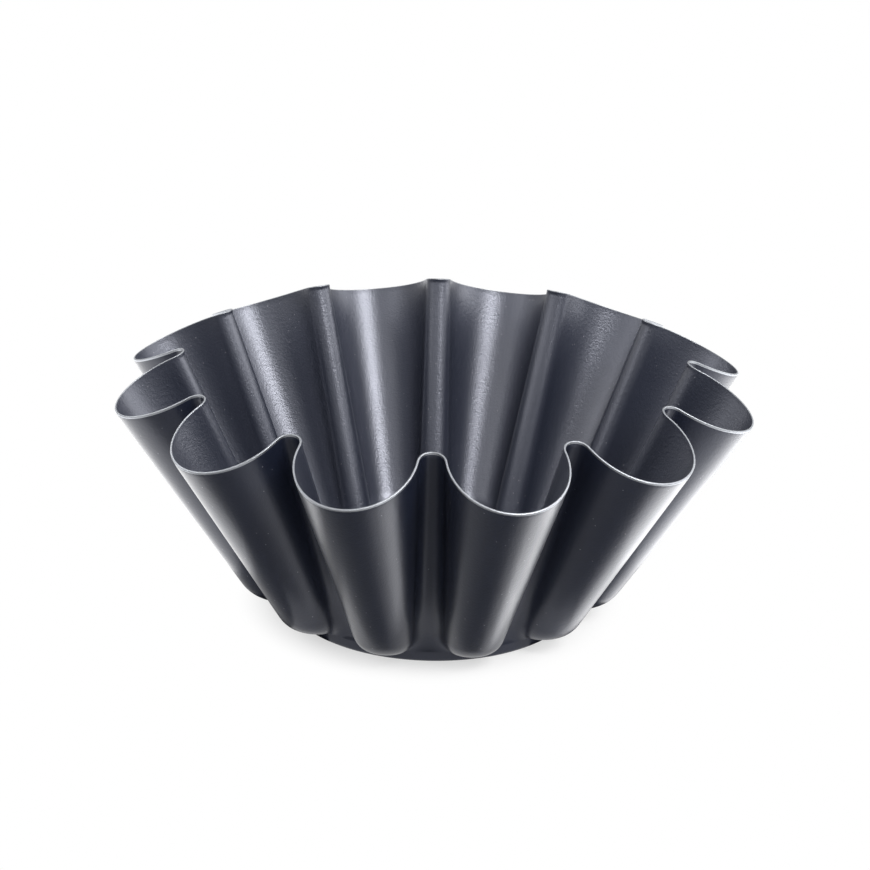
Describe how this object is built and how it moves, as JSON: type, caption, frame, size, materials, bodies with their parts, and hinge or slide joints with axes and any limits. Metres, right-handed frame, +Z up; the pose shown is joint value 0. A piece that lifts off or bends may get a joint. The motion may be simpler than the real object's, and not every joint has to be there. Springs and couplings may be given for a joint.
{
  "type": "cake pan",
  "caption": "Round fluted cake pan of thin drawn steel with a dark non-stick coat, deep rounded lobes, narrow inward ridges, a wavy trimmed rim and a low round foot.",
  "frame": {"origin": "middle of the foot's flat underside, on the pan's axis", "axes": "+Z up along the pan's axis; +X through the crown of a lobe"},
  "size_m": [0.22, 0.22, 0.09],
  "materials": {
    "bare_steel": "bare cut edge and rubbed foot",
    "inner_coat": "satin charcoal non-stick",
    "outer_coat": "satin charcoal"
  },
  "bodies": {
    "root": {"steel_shell": "bare_steel", "inner_coating": "inner_coat", "outer_coating": "outer_coat"}
  },
  "joints": []
}
